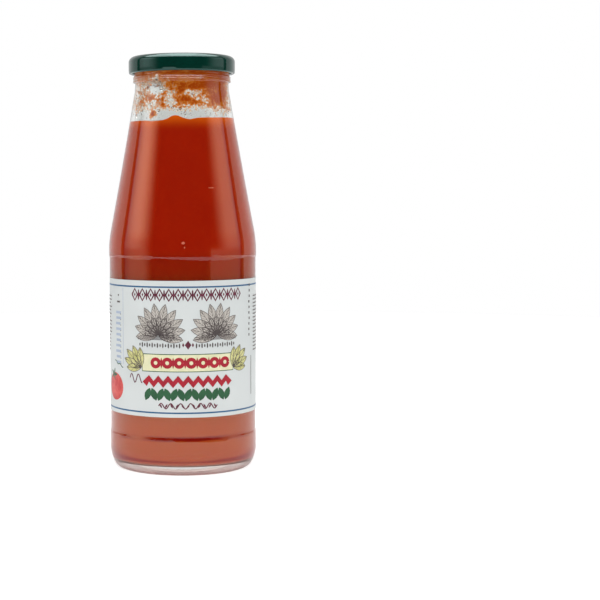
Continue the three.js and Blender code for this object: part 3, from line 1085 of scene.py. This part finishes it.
def side_prints(grey, maroon, tomato, pale, green, red):
    """What goes round the sides and back: a tomato, rows of bars and a ruled panel."""
    draw = random.Random(5)
    tomato.shape(28, -44.6, 44.8, 8.3, 7.3)
    for i in range(5):
        turn = math.tau * i / 5
        green.shape(8, -46.5 + 2 * math.cos(turn), 51 + 1.4 * math.sin(turn), 2.2, 0.8, 72 * i, 0.5)
    green.stroke([(-45 + 0.8 * i, 58.4 - 0.25 * i + 0.5 * math.sin(1.1 * i)) for i in range(12)], 0.5)
    for height, long in ((93.1, 1), (89.6, 3), (89.6, 1.4)):
        grey.bar(-42.6 + 2.2 * (long % 2), height, long, 0.9)
    pale.bar(-36, 77, 0.3, 40)
    for i in range(10):
        pale.bar(-41 + 0.6 * draw.random(), 84 - 2.9 * i, 4.5 + draw.random(), 1.3)
        grey.bar(-38.2, 83.2 - 2.9 * i, 0.5, 0.5)
        grey.bar(42.3 + 0.5 * draw.random(), 98 - 2.9 * i, 1.1, 1.3)
    grey.bar(44.8, 50.5, 0.5, 20.5)
    blocks = ((-57, 14, 92, 60), (60, 24, 92, 60), (-92, 30, 92, 40), (92, 22, 92, 40))
    for start, wide, top, bottom in blocks:
        for row in range(int((top - bottom) / BAR_PITCH)):
            long = wide * draw.uniform(0.72, 1)
            grey.bar(start + long / 2 - wide / 2, top - BAR_PITCH * row, long, 0.62)
    for i in range(26):
        maroon.bar(62 + 0.72 * i, 47, 0.22 + 0.3 * draw.random(), 13)
    for way in (-1, 1):
        red.shape(4, way * 75, 76, 2.2, 2.6)


def studio():
    """A plain white floor with a soft light over it."""
    bpy.ops.mesh.primitive_circle_add(vertices=96, radius=FLOOR_RADIUS, fill_type="NGON", location=(0, 0, 0))
    floor = bpy.context.object
    floor.name = "floor"
    floor.data.materials.append(plain(
        "floor", (0.6, 0.6, 0.6, 1), (0.59, 0.59, 0.59, 1), 0.4, 0.8, emission_color=(1, 1, 1, 1),
        emission_strength=FLOOR_GLOW,
    ))
    lamp = bpy.data.lights.new("overhead", "AREA")
    lamp.shape = "SQUARE"
    lamp.size = OVERHEAD_SIZE
    lamp.energy = OVERHEAD_WATTS
    light = bpy.data.objects.new("overhead", lamp)
    light.location = OVERHEAD_PLACE
    light.visible_camera = False
    bpy.context.collection.objects.link(light)


def surroundings():
    """Light from all round: pale walls, two softboxes, a ceiling and a dark gap behind the camera."""
    world = bpy.data.worlds.new("studio")
    world.cycles.sampling_method = "NONE"
    bpy.context.scene.world = world
    sky = Nodes(world)
    way = sky.add("ShaderNodeTexCoord", output="Generated")
    across, ahead, up = (sky.add("ShaderNodeSeparateXYZ", None, {"Vector": way}, i) for i in range(3))
    angle = across.math("ARCTAN2", across, 0 - ahead) * math.degrees(1)
    rise = up.math("ARCSINE", up) * math.degrees(1)
    turned_away = abs(angle)
    high = sky.step(-1, 4, rise)
    higher = sky.step(5, 17, rise)
    left = sky.step(50, 66, 0 - angle) * LEFT_WALL * (1 - high)
    left += sky.step(48, 80, 0 - angle) * high * sky.between(higher, LEFT_BOX_LOW, LEFT_BOX)
    left *= 1 - 0.3 * sky.step(86, 98, 0 - angle)
    right = sky.step(43, 45, angle) * RIGHT_WALL * (1 - high)
    right += sky.step(52, 82, angle) * high * sky.between(higher, RIGHT_BOX_LOW, RIGHT_BOX)
    sides = (left + right) * (1 - sky.step(SIDES_END - 5, SIDES_END, turned_away))
    sides *= 1 - sky.step(BOX_TOP - 3, BOX_TOP + 3, rise)
    glow = sky.step(122, 145, turned_away) - sky.step(158, 168, turned_away)
    back = sky.step(BACK_BEGINS - 1, BACK_BEGINS + 1, turned_away) * (BACK_WALL + BACK_GLOW * glow)
    above = rise - sky.step(110, 130, turned_away) * CEILING_RAISED_AT_BACK
    overhead = sky.step(CEILING_BEGINS - 2, CEILING_BEGINS + 2, above)
    clear = sky.between(overhead, DARK_SIDE + sides + back, CEILING)
    soft = sky.between(overhead, (1 - sky.step(100, 130, turned_away)) * SOFT_FRONT, SOFT_CEILING)
    light = sky.between(sky.add("ShaderNodeLightPath", output="Is Diffuse Ray"), clear, soft)
    shown = sky.between(sky.add("ShaderNodeLightPath", output="Is Camera Ray"), light, 1)
    paint = sky.add("ShaderNodeBackground", None, {"Color": (1, 1, 1, 1), "Strength": shown})
    sky.add("ShaderNodeOutputWorld", None, {"Surface": paint})


def camera():
    """The camera, where the photograph was taken from."""
    data = bpy.data.cameras.new("camera")
    data.sensor_width = 36
    data.lens = data.sensor_width * FOCAL_LENGTH / FRAME_WIDTH
    data.shift_x = (FRAME_WIDTH / 2 - BOTTLE_COLUMN) / FRAME_WIDTH
    eye = bpy.data.objects.new("camera", data)
    tilt = Matrix.Rotation(math.radians(90 - CAMERA_PITCH), 4, "X")
    roll = Matrix.Rotation(math.radians(CAMERA_ROLL), 4, "Z")
    eye.matrix_world = Matrix.Translation((0, -CAMERA_DISTANCE, CAMERA_HEIGHT)) @ tilt @ roll
    bpy.context.collection.objects.link(eye)
    bpy.context.scene.camera = eye


camera()
surroundings()
studio()
bottle_glass()
passata()
neck_film()
pulp_specks()
clear_drops()
air_bubbles()
lid()
paper()
label_design()

bpy.context.scene.view_settings.view_transform = "Standard"
bpy.context.scene.cycles.use_denoising = True
